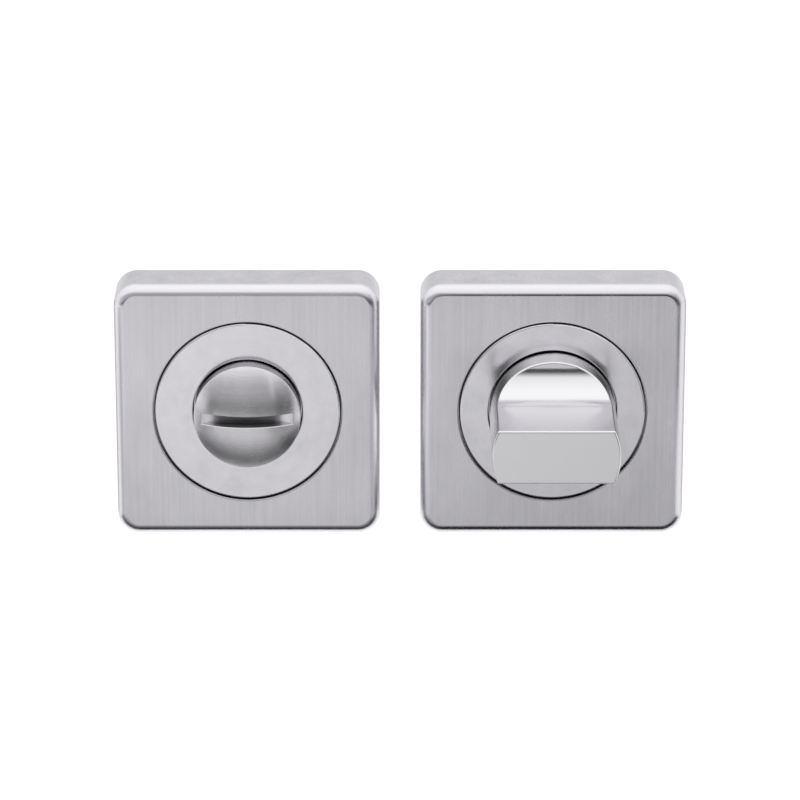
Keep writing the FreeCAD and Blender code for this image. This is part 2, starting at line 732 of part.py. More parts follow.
def make_threaded_posts(label, axis_x):
    """Two threaded posts whose hexagon heads sit in the base plate and whose shanks enter the door."""
    body = new_body(label, axis_x)
    head_level = size.plate_floor - size.stud_head_height
    far_end = -size.stud_reach
    heads = new_sketch(body, f"{label}_head_outline", level=head_level)
    shanks = new_sketch(body, f"{label}_shank_outline", level=far_end)
    for bolt_x in (-bolt_half, bolt_half):
        draw_hexagon(heads, stud_half_head, bolt_x)
        draw_circle(shanks, size.stud_diameter / 2, bolt_x)
    pad(body, heads, f"{label}_heads", size.stud_head_height)
    pad(body, shanks, f"{label}_shanks", head_level - far_end)
    pocket_pair(body, label, "bores", far_end, size.stud_bore / 2, size.plate_floor - far_end)
    at_end = at_level(far_end)
    chamfer(body, f"{label}_ends", size.stud_chamfer,
            lambda edge: at_end(edge) and edge.BoundBox.XLength > size.stud_bore.value + NEAR)
    return body


def make_lock():
    """Every piece of both halves, in the order in which they go together."""
    turn_x = ZERO
    release_x = -size.rose_pitch
    pieces = []
    for half, axis_x in (("turn", turn_x), ("release", release_x)):
        pieces.append(make_cover(f"{half}_cover", axis_x))
        pieces.append(make_bush(f"{half}_bush", axis_x))
        pieces.append(make_spring_washer(f"{half}_spring_washer", axis_x))
        pieces.append(make_circlip(f"{half}_circlip", axis_x))
    pieces.append(make_disc("turn_disc", turn_x, size.knob_diameter / 2 + size.knob_gap))
    pieces.append(make_turn_base_plate("turn_base_plate", turn_x))
    pieces.append(make_thumb_turn("thumb_turn", turn_x))
    pieces.append(make_spindle("spindle", turn_x))
    pieces.append(make_spindle_pin("spindle_pin", turn_x))
    pieces.append(make_disc("release_disc", release_x, size.button_diameter / 2 + size.button_gap))
    pieces.append(make_release_base_plate("release_base_plate", release_x))
    pieces.append(make_threaded_posts("release_threaded_posts", release_x))
    pieces.append(make_release_button("release_button", release_x))
    return pieces


def export(pieces):
    """Checks every object of the document and writes each piece to a file of its name."""
    doc.recompute()
    for item in doc.Objects:
        if "Invalid" in item.State or "Error" in item.State:
            raise RuntimeError(f"{item.Label} failed: {item.State}")
    for piece in pieces:
        if piece.Shape.isNull() or not piece.Shape.isValid() or not piece.Shape.Solids:
            raise RuntimeError(f"{piece.Label} has no valid solid")
    os.makedirs("parts", exist_ok=True)
    for piece in pieces:
        piece.Shape.exportStep(f"parts/{piece.Label}.step")
        print(f"{piece.Label}: {len(piece.Shape.Solids)} solid(s), {piece.Shape.Volume:.1f} mm3")


export(make_lock())
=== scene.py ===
"""Looks of a bathroom lock: a thumb turn and a coin release on square satin roses.

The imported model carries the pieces. This script gives each one its finish, builds the coin button
with its sawn slot and the posts with their threads, and lights and frames the pair from in front
and a little above.
"""

import logging
import math
from dataclasses import dataclass
from enum import Enum
from typing import Any, Protocol, Union

import bmesh
import bpy
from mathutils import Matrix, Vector


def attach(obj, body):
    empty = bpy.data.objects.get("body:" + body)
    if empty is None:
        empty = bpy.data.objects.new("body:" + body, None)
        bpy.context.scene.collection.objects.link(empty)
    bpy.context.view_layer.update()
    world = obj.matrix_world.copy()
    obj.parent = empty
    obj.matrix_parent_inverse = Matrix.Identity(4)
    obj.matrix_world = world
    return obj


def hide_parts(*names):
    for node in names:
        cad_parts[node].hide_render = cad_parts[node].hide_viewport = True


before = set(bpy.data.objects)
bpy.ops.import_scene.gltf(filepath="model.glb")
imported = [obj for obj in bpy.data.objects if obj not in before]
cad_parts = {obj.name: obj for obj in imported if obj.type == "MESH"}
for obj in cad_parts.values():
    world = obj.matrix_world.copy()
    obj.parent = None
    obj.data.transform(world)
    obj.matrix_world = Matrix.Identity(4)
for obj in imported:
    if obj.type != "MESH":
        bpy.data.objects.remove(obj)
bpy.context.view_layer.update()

MM = 0.001
Colour = tuple[float, float, float]
Point = tuple[float, float, float]
log = logging.getLogger("lock")

# Levels of the covers' faces, the discs' faces and the button's crown, out from the door in millimetres.
ROSE_FACE = 10.5
DISC_FACE = 10.35
BUTTON_CROWN = 16.85
# The coin slot's depth under the crown, in millimetres.
SLOT_DEPTH = 3.0
# How far painted shade on the wall of a disc's seat reaches, inside and outside the seat's radius, in
# millimetres.
SEAT_INSIDE = 0.2
SEAT_OUTSIDE = 0.15
# The middle of a noise's range, how rough its finer layers are, and how many layers a cloud has.
MIDDLE = 0.5
NOISE_ROUGHNESS = 0.6
CLOUD_DETAIL = 3.0
# A Mix node's sockets for colours, by number, because its sockets for other values share their names.
MIX_FACTOR, MIX_LOW, MIX_HIGH, MIX_RESULT = 0, 6, 7, 2
# The height of an even-sided triangle, in radii of the circle round it.
TRIANGLE_HEIGHT = 1.5


class Axis(Enum):
    """The line that each half turns about, by its place from left to right in metres."""

    TURN = 0.0
    RELEASE = -0.060


class Grain(Enum):
    """The way a brush ran over the metal, by how fast its marks change along each axis."""

    UPRIGHT = (1.0, 0.32, 0.008)
    LEVEL = (0.02, 0.32, 1.0)


class Section(Enum):
    """The outline of a turned or milled piece, by its number of flats."""

    ROUND = 0
    SQUARE = 4
    HEXAGON = 6

    def stretch(self, angle: float) -> float:
        """How far the outline stands out.

        Args:
            angle: the direction from the outline's middle, in radians.

        Returns:
            The distance to the outline, in distances from its middle to a flat.
        """
        if self is Section.ROUND:
            return 1.0
        flat = 2.0 * math.pi / self.value
        lean = (angle + flat / 2) % flat - flat / 2
        return 1.0 / math.cos(lean)


class Signal:
    """A shader socket that takes part in Python arithmetic."""

    def __init__(self, book: "NodeBook", socket: bpy.types.NodeSocket) -> None:
        """Keeps the socket and the book that adds nodes beside it."""
        self.book = book
        self.socket = socket

    def __add__(self, other: "Operand") -> "Signal":
        """Sum."""
        return self.book.math("ADD", self, other)

    __radd__ = __add__

    def __sub__(self, other: "Operand") -> "Signal":
        """Difference."""
        return self.book.math("SUBTRACT", self, other)

    def __rsub__(self, other: "Operand") -> "Signal":
        """Difference with the signal on the right."""
        return self.book.math("SUBTRACT", other, self)

    def __mul__(self, other: "Operand") -> "Signal":
        """Product."""
        return self.book.math("MULTIPLY", self, other)

    __rmul__ = __mul__

    def __truediv__(self, other: "Operand") -> "Signal":
        """Quotient."""
        return self.book.math("DIVIDE", self, other)

    def __rtruediv__(self, other: "Operand") -> "Signal":
        """Quotient with the signal below the line."""
        return self.book.math("DIVIDE", other, self)

    def clamped(self) -> "Signal":
        """The signal held between 0 and 1."""
        return self.book.math("ADD", self, 0.0, clamp=True)

    def ramp(self, growth: float) -> "Signal":
        """The signal times a growth, held between 0 and 1."""
        return self.book.math("MULTIPLY", self, growth, clamp=True)

    def size(self) -> "Signal":
        """The signal without its sign."""
        return self.book.math("ABSOLUTE", self, 0.0)


Operand = Union[Signal, float]
Paint = Union[Signal, Colour]


class NodeBook:
    """Adds nodes to one node tree."""

    def __init__(self, tree: bpy.types.NodeTree) -> None:
        """Empties the tree and keeps it."""
        self.tree = tree
        tree.nodes.clear()

    def node(self, kind: str, settings: dict[str, Any] | None = None,
             sockets: dict[str | int, Any] | None = None) -> bpy.types.Node:
        """Adds a node.

        Args:
            kind: the node's type.
            settings: its properties, set before any socket.
            sockets: values, colours or signals for its inputs, by name or number.

        Returns:
            The new node.
        """
        node = self.tree.nodes.new(kind)
        for name, value in (settings or {}).items():
            setattr(node, name, value)
        for name, value in (sockets or {}).items():
            if isinstance(value, Signal):
                self.tree.links.new(value.socket, node.inputs[name])
            else:
                node.inputs[name].default_value = value
        return node

    def signal(self, kind: str, settings: dict[str, Any] | None = None,
               sockets: dict[str | int, Any] | None = None, output: str | int = 0) -> Signal:
        """Adds a node and takes one of its outputs.

        Args:
            kind: the node's type.
            settings: its properties.
            sockets: values or signals for its inputs.
            output: the output's name or number.

        Returns:
            That output as a signal.
        """
        return Signal(self, self.node(kind, settings, sockets).outputs[output])

    def math(self, operation: str, left: Operand, right: Operand, clamp: bool = False) -> Signal:
        """Adds a Math node.

        Args:
            operation: what it works out.
            left: its first value.
            right: its second value.
            clamp: whether the result is held between 0 and 1.

        Returns:
            Its result.
        """
        settings = {"operation": operation, "use_clamp": clamp}
        return self.signal("ShaderNodeMath", settings, {0: left, 1: right})

    def blend(self, amount: Operand, low: Paint, high: Paint) -> Signal:
        """Mixes two colours.

        Args:
            amount: 0 for the first colour and 1 for the second.
            low: the first colour.
            high: the second colour.

        Returns:
            The mixed colour.
        """
        settings = {"data_type": "RGBA", "clamp_factor": True}
        paints = [paint if isinstance(paint, Signal) else (*paint, 1.0) for paint in (low, high)]
        sockets = {MIX_FACTOR: amount, MIX_LOW: paints[0], MIX_HIGH: paints[1]}
        return self.signal("ShaderNodeMix", settings, sockets, MIX_RESULT)

    def place(self, centre: Point = (0.0, 0.0, 0.0), scale: Point = (1.0, 1.0, 1.0)) -> Signal:
        """The piece's own coordinates in millimetres.

        Args:
            centre: the point that becomes the middle of the pattern, in metres.
            scale: how much faster the pattern runs along each axis.

        Returns:
            The coordinates as a vector.
        """
        where = self.signal("ShaderNodeTexCoord", None, None, "Object")
        factors = [part / MM for part in scale]
        shift = [-part * factor for part, factor in zip(centre, factors)]
        sockets = {"Vector": where, "Location": shift, "Scale": factors}
        return self.signal("ShaderNodeMapping", None, sockets)

    def parts(self, where: Signal) -> tuple[Signal, Signal, Signal]:
        """The three numbers of a vector."""
        split = self.node("ShaderNodeSeparateXYZ", None, {0: where})
        return tuple(Signal(self, output) for output in split.outputs)

    def radius(self, axis: Axis) -> Signal:
        """The distance from a half's axis, in millimetres."""
        flat = self.place((axis.value, 0.0, 0.0), (1.0, 0.0, 1.0))
        return self.signal("ShaderNodeVectorMath", {"operation": "LENGTH"}, {0: flat}, "Value")

    def depth(self, face: float) -> Signal:
        """The distance inward from a face, in millimetres, for a face at a level out from the door."""
        return self.parts(self.place())[1] + face

    def noise(self, where: Signal, grains_per_mm: float, detail: float = 2.0) -> Signal:
        """Noise from about -0.5 to 0.5.

        Args:
            where: coordinates in millimetres.
            grains_per_mm: how fine it is.
            detail: how many finer layers it has.

        Returns:
            The noise.
        """
        sockets = {"Vector": where, "Scale": grains_per_mm, "Detail": detail, "Roughness": NOISE_ROUGHNESS}
        return self.signal("ShaderNodeTexNoise", None, sockets) - MIDDLE

    def bump(self, height: Signal, depth_mm: float) -> Signal:
        """A normal tilted by a height.

        Args:
            height: the height, in parts of the depth.
            depth_mm: the depth in millimetres.

        Returns:
            The normal.
        """
        return self.signal("ShaderNodeBump", None, {"Height": height, "Distance": depth_mm * MM})

    def matt_glow(self, tone: float, glow: Any) -> None:
        """Ends a material in a matt shader that glows by itself.

        Args:
            tone: how pale the matt colour is.
            glow: the light that it gives, as a grey signal or a colour.
        """
        shader = self.signal("ShaderNodeBsdfPrincipled", None, {
            "Base Color": grey(tone), "Roughness": 1.0, "Specular IOR Level": 0.0,
            "Emission Color": glow, "Emission Strength": 1.0})
        self.node("ShaderNodeOutputMaterial", None, {"Surface": shader})


def shade(colour: Colour, factor: float) -> Colour:
    """A colour made darker or lighter."""
    return tuple(min(1.0, part * factor) for part in colour)


def grey(level: float) -> tuple[float, float, float, float]:
    """An opaque grey."""
    return level, level, level, 1.0


def new_material(name: str) -> tuple[bpy.types.Material, NodeBook]:
    """Makes a material without nodes.

    Args:
        name: its name.

    Returns:
        The material, and the book that adds nodes to it.
    """
    material = bpy.data.materials.new(name)
    material.use_nodes = True
    return material, NodeBook(material.node_tree)


def put(name: str, data: bpy.types.ID) -> bpy.types.Object:
    """Makes an object in the scene.

    Args:
        name: its name.
        data: its mesh, light or camera.

    Returns:
        The object.
    """
    thing = bpy.data.objects.new(name, data)
    bpy.context.scene.collection.objects.link(thing)
    return thing


def panel(name: str, corners: list[Any]) -> bpy.types.Object:
    """Makes a flat panel.

    Args:
        name: its name.
        corners: its four corners, in order.

    Returns:
        The panel's object.
    """
    mesh = bpy.data.meshes.new(name)
    mesh.from_pydata(corners, [], [(0, 1, 2, 3)])
    return put(name, mesh)


def add_ring(form: bmesh.types.BMesh, section: Section, middle: float, level: float, reach: float,
             sides: int) -> list[bmesh.types.BMVert]:
    """Adds a ring of points round a line that runs into the door.

    Args:
        form: the mesh it goes into.
        section: its outline.
        middle: the line's place from left to right, in metres.
        level: the ring's level inward from the door face, in millimetres.
        reach: its radius, or the distance from its middle to its flats, in millimetres.
        sides: how many points it has.

    Returns:
        The ring's points.
    """
    points = []
    for step in range(sides):
        angle = 2.0 * math.pi * step / sides
        size = reach * section.stretch(angle) * MM
        points.append(form.verts.new(
            (middle + size * math.cos(angle), level * MM, size * math.sin(angle))))
    return points


def add_band(form: bmesh.types.BMesh, ring: list[bmesh.types.BMVert],
             following: list[bmesh.types.BMVert]) -> None:
    """Adds the faces between two closed rings of points.

    Args:
        form: the mesh they go into.
        ring: the first ring.
        following: the second ring, with as many points.
    """
    for step in range(len(ring)):
        after = (step + 1) % len(ring)
        form.faces.new((ring[step], ring[after], following[after], following[step]))


def as_mesh(form: bmesh.types.BMesh, name: str) -> bpy.types.Mesh:
    """Turns a form into a mesh and frees the form.

    Args:
        form: the finished form.
        name: the mesh's name.

    Returns:
        The mesh.
    """
    mesh = bpy.data.meshes.new(name)
    form.to_mesh(mesh)
    form.free()
    return mesh


def plain_mesh(holder: bpy.types.Object) -> bpy.types.Mesh:
    """Takes what an object's modifiers make, and removes the object with its modifiers.

    Args:
        holder: the object.

    Returns:
        A plain mesh.
    """
    graph = bpy.context.evaluated_depsgraph_get()
    mesh = bpy.data.meshes.new_from_object(holder.evaluated_get(graph))
    holder.modifiers.clear()
    bpy.data.objects.remove(holder)
    return mesh


def smooth(mesh: bpy.types.Mesh, sharp_deg: float) -> None:
    """Shades a mesh smooth, apart from edges sharper than an angle."""
    mesh.shade_smooth()
    mesh.set_sharp_from_angle(angle=math.radians(sharp_deg))


class PaintedLight(Protocol):
    """A place where shade or a highlight is painted into the metal's colour, by a tone that scales it:
    below 1 for shade, above 1 for a highlight.
    """

    tone: float

    def amount(self, book: NodeBook) -> Signal:
        """1 where the tone is reached and 0 outside the patch."""


@dataclass(frozen=True)
class GapShade:
    """Painted shade on the walls of a narrow round gap, between two radii and below a face, in millimetres.
    """

    axis: Axis
    inner: float
    outer: float
    face: float
    tone: float = 0.06
    lip: float = 0.12
    growth: float = 4.0
    side_growth: float = 20.0

    def amount(self, book: NodeBook) -> Signal:
        """Grows from just below the face.

        Args:
            book: the tree of the metal's material.

        Returns:
            1 deep in the gap and 0 outside it.
        """
        radius = book.radius(self.axis)
        within = ((radius - self.inner).ramp(self.side_growth)
                  * (self.outer - radius).ramp(self.side_growth))
        return (book.depth(self.face) - self.lip).ramp(self.growth) * within


@dataclass(frozen=True)
class EdgeHighlight:
    """A painted highlight on a rounded edge, from a face down, in millimetres."""

    face: float
    reach: float
    tone: float
    lip: float = 0.02
    growth: float = 12.0
    fading_share: float = 0.5

    def amount(self, book: NodeBook) -> Signal:
        """Full just below the face, and gone where the edge ends.

        Args:
            book: the tree of the metal's material.

        Returns:
            1 where the highlight is painted fullest and 0 outside it.
        """
        below = book.depth(self.face)
        fading = (self.reach - below) / (self.fading_share * self.reach)
        return (below - self.lip).ramp(self.growth) * fading.clamped()


@dataclass(frozen=True)
class SlotShadeAndHighlight:
    """Shade or a highlight painted on a stretch of the coin slot's inside, on both sides of its middle, in
    millimetres: shade where the tone is below 1, a highlight where it is above.
    """

    start: float
    end: float
    lid: float
    tone: float
    axis: Axis = Axis.RELEASE
    half_width: float = 1.13
    depth: float = SLOT_DEPTH
    floor_play: float = 0.4
    crown: float = BUTTON_CROWN
    dome_radius: float = 18.3
    lid_growth: float = 0.8
    end_growth: float = 0.6
    side_growth: float = 30.0
    floor_growth: float = 5.0

    def amount(self, book: NodeBook) -> Signal:
        """Grows with the depth below the dome, from the lid down.

        Args:
            book: the tree of the metal's material.

        Returns:
            1 deep in that stretch of the slot and 0 outside it.
        """
        across, inward, upward = book.parts(book.place((self.axis.value, 0.0, 0.0)))
        fall = (across * across + upward * upward) / (2.0 * self.dome_radius)
        below = inward + self.crown - fall
        aside = across.size()
        stretch = (self.end - aside).ramp(self.end_growth) * (aside - self.start).ramp(self.end_growth)
        within = ((self.half_width - upward.size()).ramp(self.side_growth)
                  * (self.depth + self.floor_play - below).ramp(self.floor_growth))
        return (below - self.lid).ramp(self.lid_growth) * stretch * within


@dataclass(frozen=True)
class Surface:
    """What a finish feeds into the shader."""

    colour: Signal
    roughness: Signal
    normal: Signal


@dataclass(frozen=True)
class Finish:
    """A finish: its colour, its gloss, the marks that its making leaves, and the shade and highlights
    painted into its colour.
    """

    name: str
    colour: Colour
    roughness: float
    metallic: float = 1.0
    anisotropy: float = 0.0
    swing: float = 0.0
    spread: float = 0.12
    painted_light: tuple[PaintedLight, ...] = ()

    def surface(self, book: NodeBook) -> Surface:
        """The parts that change over the surface."""
        raise NotImplementedError

    def toned(self, book: NodeBook, change: Signal) -> Signal:
        """The colour, made darker or lighter by up to the spread.

        Args:
            book: the material's tree.
            change: -0.5 where it is darkest and 0.5 where it is lightest.

        Returns:
            The changed colour.
        """
        dark, pale = (shade(self.colour, 1.0 + side * self.spread) for side in (-1.0, 1.0))
        return book.blend((change + MIDDLE).clamped(), dark, pale)

    def material(self) -> bpy.types.Material:
        """Builds the material.

        Returns:
            A material with this finish.
        """
        material, book = new_material(self.name)
        surface = self.surface(book)
        colour = surface.colour
        # Painted shade and highlights: each patch mixes a darker or brighter copy of the colour into the
        # surface.
        for patch in self.painted_light:
            colour = book.blend(patch.amount(book), colour, shade(self.colour, patch.tone))
        shader = book.signal("ShaderNodeBsdfPrincipled", None, {
            "Base Color": colour, "Roughness": surface.roughness, "Normal": surface.normal,
            "Metallic": self.metallic, "Anisotropic": self.anisotropy,
            "Anisotropic Rotation": self.swing})
        book.node("ShaderNodeOutputMaterial", None, {"Surface": shader})
        return material

    def ready(self) -> bpy.types.Material:
        """The finish's material, which is built once."""
        return bpy.data.materials.get(self.name) or self.material()


@dataclass(frozen=True)
class BrushedMetal(Finish):
    """Metal drawn under a brush that leaves long fine scratches and soft clouds."""

    grain: Grain = Grain.UPRIGHT
    scratches_per_mm: float = 9.0
    fine_to_broad: float = 6.0
    scratch_depth_mm: float = 0.0005
    scratch_tone: float = 0.60
    clouds_per_mm: float = 0.16
    cloud_scale: Point = (1.0, 1.0, 0.45)
    cloud_tone: float = 1.40
    gloss_swing: float = 0.10

    def surface(self, book: NodeBook) -> Surface:
        """Scratches along the grain, in tone, gloss and height.

        Args:
            book: the material's tree.

        Returns:
            The parts that change over the surface.
        """
        along = book.place(scale=self.grain.value)
        fine = book.noise(along, self.scratches_per_mm)
        broad = book.noise(along, self.scratches_per_mm / self.fine_to_broad)
        cloud = book.noise(book.place(scale=self.cloud_scale), self.clouds_per_mm, CLOUD_DETAIL)
        return Surface(
            colour=self.toned(book, (fine + broad) * self.scratch_tone + cloud * self.cloud_tone),
            roughness=self.roughness + (fine + cloud) * self.gloss_swing,
            normal=book.bump(fine + broad, self.scratch_depth_mm))


@dataclass(frozen=True)
class TurnedMetal(Finish):
    """Metal faced on a lathe, with fine rings round its axis."""

    spread: float = 0.09
    axis: Axis = Axis.TURN
    rings_per_mm: float = 6.0
    ring_depth_mm: float = 0.0006
    ring_tone: float = 1.5
    clouds_per_mm: float = 0.2
    cloud_tone: float = 1.7
    gloss_swing: float = 0.05

    def surface(self, book: NodeBook) -> Surface:
        """Rings round the axis, under faint clouds.

        Args:
            book: the material's tree.

        Returns:
            The parts that change over the surface.
        """
        sockets = {"W": book.radius(self.axis), "Scale": self.rings_per_mm, "Detail": CLOUD_DETAIL}
        rings = book.signal("ShaderNodeTexNoise", {"noise_dimensions": "1D"}, sockets) - MIDDLE
        cloud = book.noise(book.place(), self.clouds_per_mm, CLOUD_DETAIL)
        return Surface(
            colour=self.toned(book, rings * self.ring_tone + cloud * self.cloud_tone),
            roughness=self.roughness + (rings + cloud) * self.gloss_swing,
            normal=book.bump(rings, self.ring_depth_mm))


@dataclass(frozen=True)
class SpeckledFinish(Finish):
    """A finish with an even fine speckle: plating, phosphate or moulded plastic."""

    spread: float = 0.10
    specks_per_mm: float = 3.0
    speck_depth_mm: float = 0.002
    tone: float = 0.4
    clouds_per_mm: float = 0.35
    gloss_swing: float = 0.08

    def surface(self, book: NodeBook) -> Surface:
        """Specks in tone, gloss and height, over slow clouds.

        Args:
            book: the material's tree.

        Returns:
            The parts that change over the surface.
        """
        where = book.place()
        speck = book.noise(where, self.specks_per_mm)
        change = speck + book.noise(where, self.clouds_per_mm, CLOUD_DETAIL)
        return Surface(
            colour=self.toned(book, change * self.tone),
            roughness=self.roughness + change * self.gloss_swing,
            normal=book.bump(speck, self.speck_depth_mm))


# The button's colour has painted shade deep in the middle of the coin slot and a painted highlight on the
# slot's shallow ends.
BUTTON_METAL = BrushedMetal(
    "satin_button", (0.715, 0.700, 0.735), roughness=0.26, anisotropy=0.72, swing=0.25,
    painted_light=(SlotShadeAndHighlight(start=-2.0, end=8.2, lid=0.8, tone=0.20),
             SlotShadeAndHighlight(start=6.3, end=12.0, lid=0.0, tone=1.35)),
    grain=Grain.LEVEL, scratch_depth_mm=0.00004, gloss_swing=0.06)
GRIP_METAL = SpeckledFinish(
    "smooth_grip", (0.775, 0.765, 0.787), roughness=0.19, spread=0.04,
    specks_per_mm=1.2, speck_depth_mm=0.0003, tone=0.3, gloss_swing=0.04)
PLATED_STEEL = SpeckledFinish("zinc_plating", (0.60, 0.61, 0.63), roughness=0.30)
SPRING_STEEL = SpeckledFinish(
    "phosphated_spring", (0.16, 0.16, 0.17), roughness=0.42, spread=0.15,
    specks_per_mm=5.0, speck_depth_mm=0.003)
PLATE_NYLON = SpeckledFinish(
    "black_nylon", (0.030, 0.030, 0.033), roughness=0.46, metallic=0.0, spread=0.15,
    specks_per_mm=7.0, speck_depth_mm=0.006)
BUSH_ACETAL = SpeckledFinish(
    "white_acetal", (0.80, 0.79, 0.76), roughness=0.38, metallic=0.0, spread=0.03, specks_per_mm=2.0)


def satin_rose(axis: Axis) -> BrushedMetal:
    """The covers' finish, with painted shade on the wall of the round opening and a painted highlight on
    the rounded outer edge.

    Args:
        axis: the axis of the cover's half.

    Returns:
        The finish.
    """
    # Painted shade on the opening's wall, and a painted highlight on the outer rounded edge.
    wall = GapShade(axis, inner=17.5, outer=18.9, face=ROSE_FACE)
    edge = EdgeHighlight(face=ROSE_FACE, reach=2.2, tone=1.15)
    return BrushedMetal(f"satin_rose_{axis.name.lower()}", (0.665, 0.651, 0.686), roughness=0.25,
                        anisotropy=0.88, painted_light=(wall, edge))


def turned_disc(axis: Axis, seat: float) -> TurnedMetal:
    """The discs' finish, with painted shade on the walls of the rim and of the seat in the middle.

    Args:
        axis: the axis of the disc's half.
        seat: the seat's radius, in millimetres.

    Returns:
        The finish.
    """
    # Painted shade in the gap at the disc's rim and in the seat in its middle.
    rim = GapShade(axis, inner=18.1, outer=18.5, face=DISC_FACE)
    well = GapShade(axis, inner=seat - SEAT_INSIDE, outer=seat + SEAT_OUTSIDE, face=DISC_FACE)
    return TurnedMetal(f"turned_disc_{axis.name.lower()}", (0.740, 0.725, 0.760), roughness=0.16,
                       painted_light=(rim, well), axis=axis)


def dress(node: str, finish: Finish) -> None:
    """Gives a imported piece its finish.

    Args:
        node: the piece's name.
        finish: the finish.
    """
    material = finish.ready()
    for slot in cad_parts[node].material_slots:
        slot.material = material
    log.info("%s: %s", node, finish.name)


@dataclass(frozen=True)
class Rose:
    """One square rose: its cover, the disc in the opening, the base plate and what holds the shank."""

    half: str
    axis: Axis
    seat: float

    def dress(self) -> None:
        """Gives the rose's pieces their finishes."""
        finishes = {
            "cover": satin_rose(self.axis), "disc": turned_disc(self.axis, self.seat),
            "base_plate": PLATE_NYLON, "bush": BUSH_ACETAL,
            "spring_washer": SPRING_STEEL, "circlip": SPRING_STEEL}
        for piece, finish in finishes.items():
            dress(f"{self.half}_{piece}", finish)


@dataclass(frozen=True)
class ThumbTurn:
    """The knob with its grip bar, and the spindle pinned in it."""

    def dress(self) -> None:
        """Gives the knob and the spindle their finishes."""
        dress("thumb_turn", GRIP_METAL)
        dress("spindle", PLATED_STEEL)
        dress("spindle_pin", PLATED_STEEL)


@dataclass(frozen=True)
class BoltThread:
    """The thread in the posts' bores: one ridge wound up each bore, in millimetres."""

    axis: Axis = Axis.RELEASE
    wall: float = 2.03
    crest: float = 1.65
    pitch: float = 0.70
    start: float = -2.0
    length: float = 10.5
    spacing: float = 38.0
    flank: float = 0.72
    bores: int = 2
    steps_per_turn: int = 40
    ridge_corners: int = 3

    def inputs(self, material: bpy.types.Material) -> dict[str, tuple[str, Any]]:
        """The tree's inputs.

        Args:
            material: the thread's material.

        Returns:
            Each input's socket type and value, by name.
        """
        ridge = (self.wall - self.crest) / TRIANGLE_HEIGHT
        return {
            "Radius": ("NodeSocketFloat", (self.crest + ridge) * MM),
            "Ridge": ("NodeSocketFloat", ridge * MM),
            "Flank": ("NodeSocketFloat", self.flank),
            "Turns": ("NodeSocketFloat", self.length / self.pitch),
            "Length": ("NodeSocketFloat", self.length * MM),
            "Start": ("NodeSocketFloat", self.start * MM),
            "First Bore": ("NodeSocketFloat", self.axis.value - self.spacing * MM / 2),
            "Spacing": ("NodeSocketFloat", self.spacing * MM),
            "Bores": ("NodeSocketInt", self.bores),
            "Steps": ("NodeSocketInt", self.steps_per_turn),
            "Corners": ("NodeSocketInt", self.ridge_corners),
            "Material": ("NodeSocketMaterial", material),
        }

    @staticmethod
    def wire(book: NodeBook) -> None:
        """Winds the ridge, stands it in the first bore and repeats it in the second.

        Args:
            book: the geometry tree, with its inputs and its output declared.
        """
        group = book.node("NodeGroupInput")
        given = {socket.name: Signal(book, socket) for socket in group.outputs if socket.name}
        coil = book.signal("GeometryNodeCurveSpiral", None, {
            "Resolution": given["Steps"], "Rotations": given["Turns"], "Start Radius": given["Radius"],
            "End Radius": given["Radius"], "Height": given["Length"]})
        coil = book.signal("GeometryNodeSetCurveNormal", {"mode": "Z_UP"}, {"Curve": coil})
        corner = book.signal("GeometryNodeCurvePrimitiveCircle", {"mode": "RADIUS"},
                             {"Resolution": given["Corners"], "Radius": given["Ridge"]})
        scale = book.signal("ShaderNodeCombineXYZ", None, {0: 1.0, 1: given["Flank"], 2: 1.0})
        corner = book.signal("GeometryNodeTransform", None, {"Geometry": corner, "Scale": scale})
        ridge = book.signal("GeometryNodeCurveToMesh", None,
                            {"Curve": coil, "Profile Curve": corner, "Fill Caps": True})
        into = book.signal("ShaderNodeCombineXYZ", None, {1: given["Start"]})
        ridge = book.signal("GeometryNodeTransform", None, {
            "Geometry": ridge, "Rotation": (-math.pi / 2, 0.0, 0.0), "Translation": into})
        first = book.signal("ShaderNodeCombineXYZ", None, {0: given["First Bore"]})
        step = book.signal("ShaderNodeCombineXYZ", None, {0: given["Spacing"]})
        bores = book.signal("GeometryNodeMeshLine", {"mode": "OFFSET"},
                            {"Count": given["Bores"], "Start Location": first, "Offset": step})
        pair = book.signal("GeometryNodeInstanceOnPoints", None, {"Points": bores, "Instance": ridge})
        pair = book.signal("GeometryNodeRealizeInstances", None, {"Geometry": pair})
        pair = book.signal("GeometryNodeSetMaterial", None,
                           {"Geometry": pair, "Material": given["Material"]})
        book.node("NodeGroupOutput", None, {"Geometry": pair})

    def build(self, material: bpy.types.Material) -> bpy.types.Mesh:
        """Builds the threads of both posts.

        Args:
            material: their material.

        Returns:
            A plain mesh.
        """
        tree = bpy.data.node_groups.new("bolt_thread", "GeometryNodeTree")
        book = NodeBook(tree)
        tree.interface.new_socket("Geometry", in_out="OUTPUT", socket_type="NodeSocketGeometry")
        values: dict[str, Any] = {}
        for name, (kind, value) in self.inputs(material).items():
            socket = tree.interface.new_socket(name, in_out="INPUT", socket_type=kind)
            values[socket.identifier] = value
        self.wire(book)
        holder = put("bolt_thread", bpy.data.meshes.new("bolt_thread"))
        maker = holder.modifiers.new("thread", "NODES")
        maker.node_group = tree
        for identifier, value in values.items():
            maker[identifier] = value
        return plain_mesh(holder)


